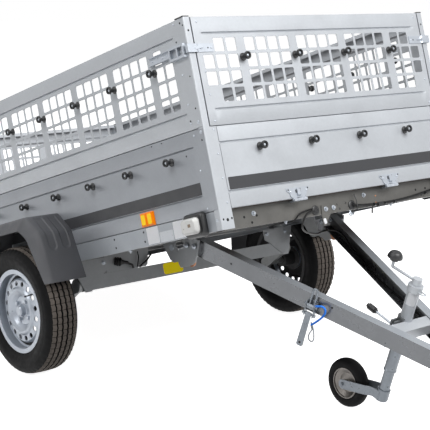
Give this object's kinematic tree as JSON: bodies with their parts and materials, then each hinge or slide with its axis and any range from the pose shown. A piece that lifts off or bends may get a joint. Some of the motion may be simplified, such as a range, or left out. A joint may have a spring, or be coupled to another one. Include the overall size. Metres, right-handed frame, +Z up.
{
  "type": "utility trailer",
  "caption": "Single-axle utility trailer with a tipping box, mesh side extensions, fold-down end gates, a folding V drawbar with ball coupling and a jockey wheel, shown tipped.",
  "frame": {"origin": "bottom centre of the bounding box of the trailer as it stands, tipped, on its road wheels and jockey wheel", "axes": "+X forward towards the coupling, +Y to the trailer's left, +Z up; the floor the wheels stand on is z = 0"},
  "size_m": [3.338, 1.704, 1.5469],
  "materials": {
    "galvanised": "galvanised",
    "side_sheet": "galvanised sheet",
    "bright_zinc": "zinc plated",
    "black_plastic": "moulded",
    "charcoal_plastic": "moulded",
    "ply": "film faced",
    "tyre_rubber": "matte",
    "rim_steel": "silver",
    "lamp_white": "clear",
    "lamp_orange": "reflector",
    "lamp_red": "lens",
    "cast": "galvanised",
    "cable_pvc": "sheath",
    "dark_steel": "dark"
  },
  "bodies": {
    "bed": {"chassis_rails": "galvanised", "front_beam": "galvanised", "rear_beam": "galvanised", "cross_members": "galvanised", "floor": "ply", "side_panel_right": "side_sheet", "side_panel_left": "side_sheet", "mesh_side_right": "side_sheet", "mesh_side_left": "side_sheet", "side_knobs": "black_plastic", "corner_posts": "side_sheet", "post_caps": "black_plastic", "gate_latches": "bright_zinc", "hinge_tongues": "bright_zinc", "mudguard_right": "charcoal_plastic", "mudguard_left": "charcoal_plastic", "axle_tube": "galvanised", "axle_brackets": "galvanised", "swing_arms": "galvanised", "tip_brackets": "galvanised", "lamp_holders": "black_plastic", "position_lamps": "lamp_white", "side_reflectors": "lamp_orange", "rear_lamps": "lamp_red", "beam_cable": "cable_pvc", "tip_cable": "cable_pvc"},
    "wheel_right": {"rim_right": "rim_steel", "tyre_right": "tyre_rubber", "hub_right": "rim_steel"},
    "wheel_left": {"rim_left": "rim_steel", "tyre_left": "tyre_rubber", "hub_left": "rim_steel"},
    "gate_front": {"front_panel": "side_sheet", "front_mesh": "side_sheet", "front_knobs": "black_plastic", "front_hinge_leaves": "bright_zinc", "front_keepers": "bright_zinc"},
    "gate_rear": {"rear_panel": "side_sheet", "rear_mesh": "side_sheet", "rear_knobs": "black_plastic", "rear_hinge_leaves": "bright_zinc", "rear_keepers": "bright_zinc"},
    "drawbar": {"drawbar_arm_right": "galvanised", "drawbar_arm_left": "galvanised", "hinge_plates": "dark_steel", "drawbar_crossbar": "galvanised", "coupling_head": "cast", "coupling_handle": "dark_steel", "jockey_tube": "bright_zinc", "jockey_crank": "bright_zinc", "jockey_clamp": "dark_steel", "clamp_lever": "black_plastic", "tip_latch": "bright_zinc", "arm_cable": "cable_pvc", "cable_plug": "black_plastic"},
    "jockey_slide": {"jockey_leg": "bright_zinc"},
    "jockey_swivel": {"jockey_fork": "bright_zinc"},
    "jockey_wheel": {"jockey_rim": "bright_zinc", "jockey_tyre": "tyre_rubber"}
  },
  "joints": [
    {"name": "wheel_right_spin", "type": "hinge", "parent": "bed", "child": "wheel_right", "pos_m": [-0.31445, -0.767, 0.273], "axis": [0, 1, 0], "continuous": true},
    {"name": "wheel_left_spin", "type": "hinge", "parent": "bed", "child": "wheel_left", "pos_m": [-0.31445, 0.767, 0.273], "axis": [0, 1, 0], "continuous": true},
    {"name": "tip", "type": "hinge", "parent": "bed", "child": "drawbar", "pos_m": [0.33621, 0, 0.56111], "axis": [0, -1, 0], "range_deg": [0, 31.8], "deforming": ["tip_cable"]},
    {"name": "gate_front_fold", "type": "hinge", "parent": "bed", "child": "gate_front", "pos_m": [0.79168, 0, 0.86865], "axis": [0, -1, 0], "range_deg": [-90, 0]},
    {"name": "gate_rear_fold", "type": "hinge", "parent": "bed", "child": "gate_rear", "pos_m": [-1.45395, 0, 0.13964], "axis": [0, -1, 0], "range_deg": [0, 90]},
    {"name": "jockey_slide", "type": "slide", "parent": "drawbar", "child": "jockey_slide", "axis": [0.2826, 0, 0.9592], "range_m": [-0.1, 0.06]},
    {"name": "jockey_swivel", "type": "hinge", "parent": "jockey_slide", "child": "jockey_swivel", "pos_m": [1.02269, 0, 0.11702], "axis": [0.2826, 0, 0.9592], "continuous": true},
    {"name": "jockey_spin", "type": "hinge", "parent": "jockey_swivel", "child": "jockey_wheel", "pos_m": [0.83628, 0, 0.1], "axis": [0, 1, 0], "continuous": true}
  ]
}
